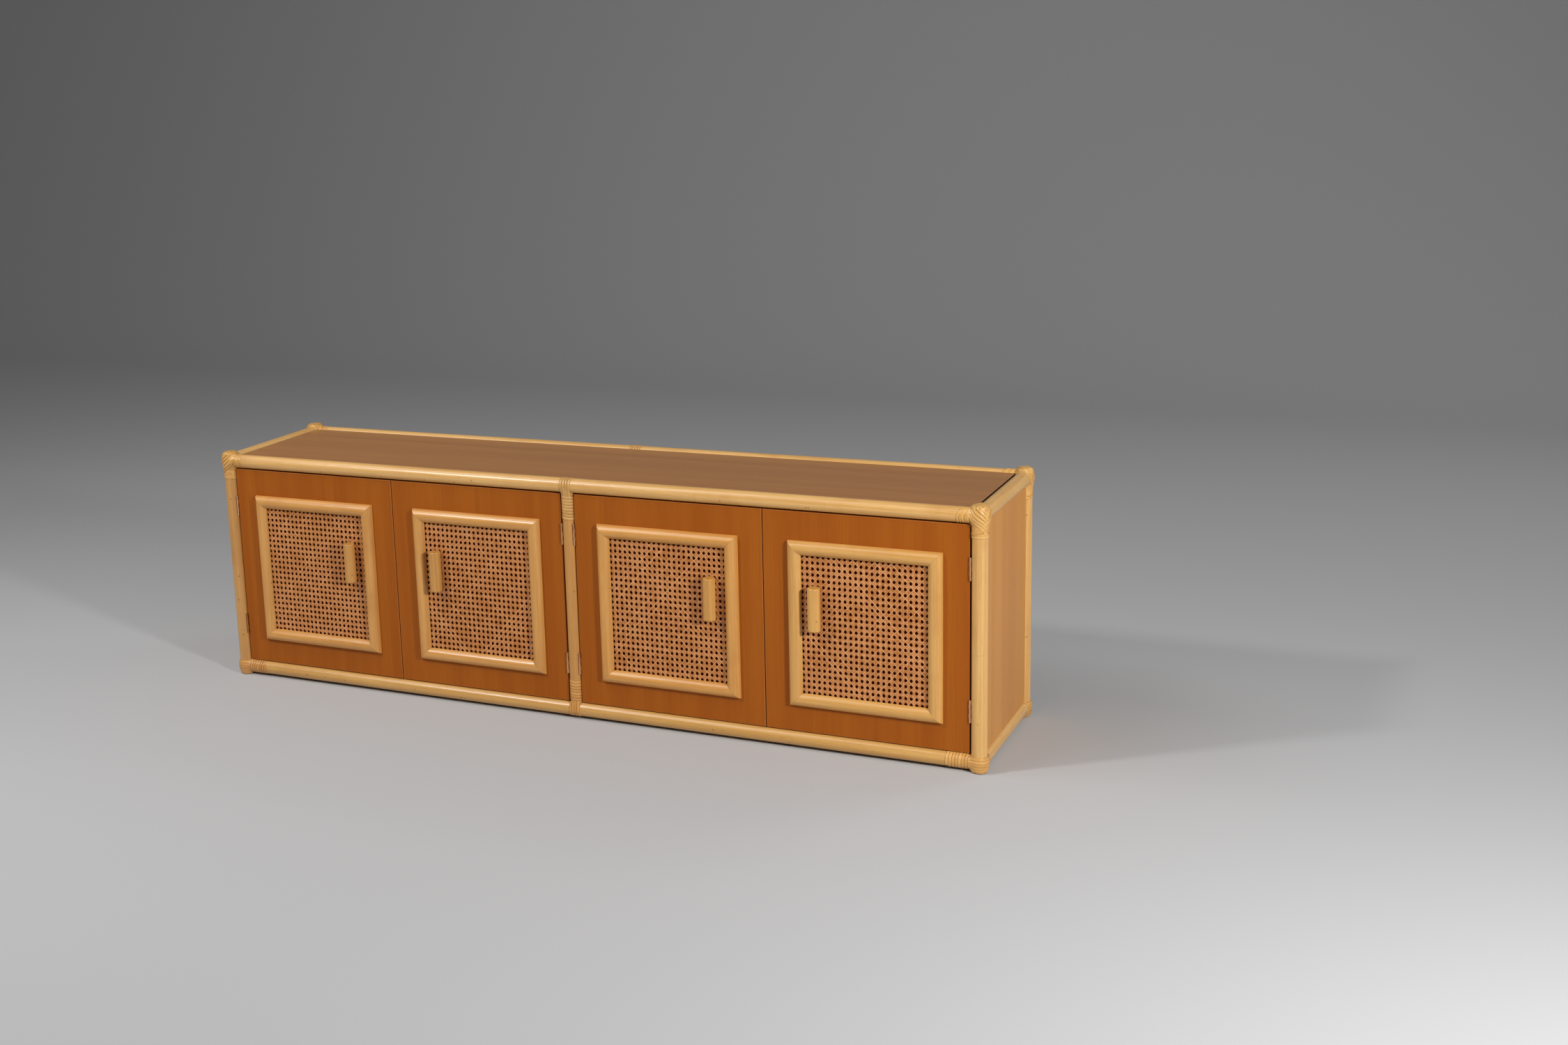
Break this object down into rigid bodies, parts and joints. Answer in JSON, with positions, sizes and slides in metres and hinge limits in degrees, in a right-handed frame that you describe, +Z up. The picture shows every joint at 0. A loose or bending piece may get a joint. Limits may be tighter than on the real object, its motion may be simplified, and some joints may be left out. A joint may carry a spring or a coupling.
{
  "type": "rattan sideboard",
  "caption": "Low wide sideboard of lashed rattan poles with veneered panels and hinged doors that carry half-round frames over cane webbing, with pole handles and inner shelves.",
  "frame": {"origin": "on the floor under the middle of the whole part, doors shut", "axes": "+X to the right as seen from the front, -Y to the front where the doors are, +Z up"},
  "size_m": [2.004, 0.436, 0.5985],
  "materials": {
    "rattan_pole": "satin lacquer, brown knots",
    "cane_strip": "satin lacquer",
    "top_veneer": "satin, grain along X",
    "side_veneer": "satin, upright grain",
    "door_veneer": "satin, upright straight grain",
    "inner_veneer": "satin",
    "back_board": "matt",
    "rattan_moulding": "satin lacquer",
    "cane_webbing": "satin lacquer, open weave",
    "handle_pole": "satin lacquer, sawn ends",
    "hinge_brass": "satin",
    "screw_steel": "plain",
    "catch_plastic": "matt brown"
  },
  "bodies": {
    "cabinet": {"front_left_post": "rattan_pole", "front_right_post": "rattan_pole", "rear_left_post": "rattan_pole", "rear_right_post": "rattan_pole", "front_middle_post": "rattan_pole", "rear_middle_post": "rattan_pole", "front_top_rail": "rattan_pole", "front_bottom_rail": "rattan_pole", "rear_top_rail": "rattan_pole", "rear_bottom_rail": "rattan_pole", "left_top_rail": "rattan_pole", "left_bottom_rail": "rattan_pole", "right_top_rail": "rattan_pole", "right_bottom_rail": "rattan_pole", "front_left_top_wrap": "cane_strip", "front_right_top_wrap": "cane_strip", "rear_left_top_wrap": "cane_strip", "rear_right_top_wrap": "cane_strip", "front_left_bottom_wrap": "cane_strip", "front_right_bottom_wrap": "cane_strip", "rear_left_bottom_wrap": "cane_strip", "rear_right_bottom_wrap": "cane_strip", "front_middle_top_wrap": "cane_strip", "front_middle_bottom_wrap": "cane_strip", "rear_middle_top_wrap": "cane_strip", "rear_middle_bottom_wrap": "cane_strip", "top_panel": "top_veneer", "bottom_panel": "inner_veneer", "left_side_panel": "side_veneer", "right_side_panel": "side_veneer", "left_back_panel": "back_board", "right_back_panel": "back_board", "partition": "inner_veneer", "left_shelf": "inner_veneer", "right_shelf": "inner_veneer", "shelf_pins": "hinge_brass", "magnetic_catches": "catch_plastic", "post_hinge_leaves": "hinge_brass", "hinge_pins": "hinge_brass", "fixing_screws": "screw_steel"},
    "door_1": {"door_1_panel": "door_veneer", "door_1_frame": "rattan_moulding", "door_1_cane": "cane_webbing", "door_1_handle": "handle_pole", "door_1_fittings": "hinge_brass"},
    "door_2": {"door_2_panel": "door_veneer", "door_2_frame": "rattan_moulding", "door_2_cane": "cane_webbing", "door_2_handle": "handle_pole", "door_2_fittings": "hinge_brass"},
    "door_3": {"door_3_panel": "door_veneer", "door_3_frame": "rattan_moulding", "door_3_cane": "cane_webbing", "door_3_handle": "handle_pole", "door_3_fittings": "hinge_brass"},
    "door_4": {"door_4_panel": "door_veneer", "door_4_frame": "rattan_moulding", "door_4_cane": "cane_webbing", "door_4_handle": "handle_pole", "door_4_fittings": "hinge_brass"}
  },
  "joints": [
    {"name": "door_1_hinge", "type": "hinge", "parent": "cabinet", "child": "door_1", "pos_m": [-0.9637, -0.1892, 0.2987], "axis": [0, 0, -1], "range_deg": [0, 110]},
    {"name": "door_2_hinge", "type": "hinge", "parent": "cabinet", "child": "door_2", "pos_m": [-0.0162, -0.1892, 0.2987], "axis": [0, 0, 1], "range_deg": [0, 85]},
    {"name": "door_3_hinge", "type": "hinge", "parent": "cabinet", "child": "door_3", "pos_m": [0.0162, -0.1892, 0.2987], "axis": [0, 0, -1], "range_deg": [0, 85]},
    {"name": "door_4_hinge", "type": "hinge", "parent": "cabinet", "child": "door_4", "pos_m": [0.9637, -0.1892, 0.2987], "axis": [0, 0, 1], "range_deg": [0, 110]}
  ]
}
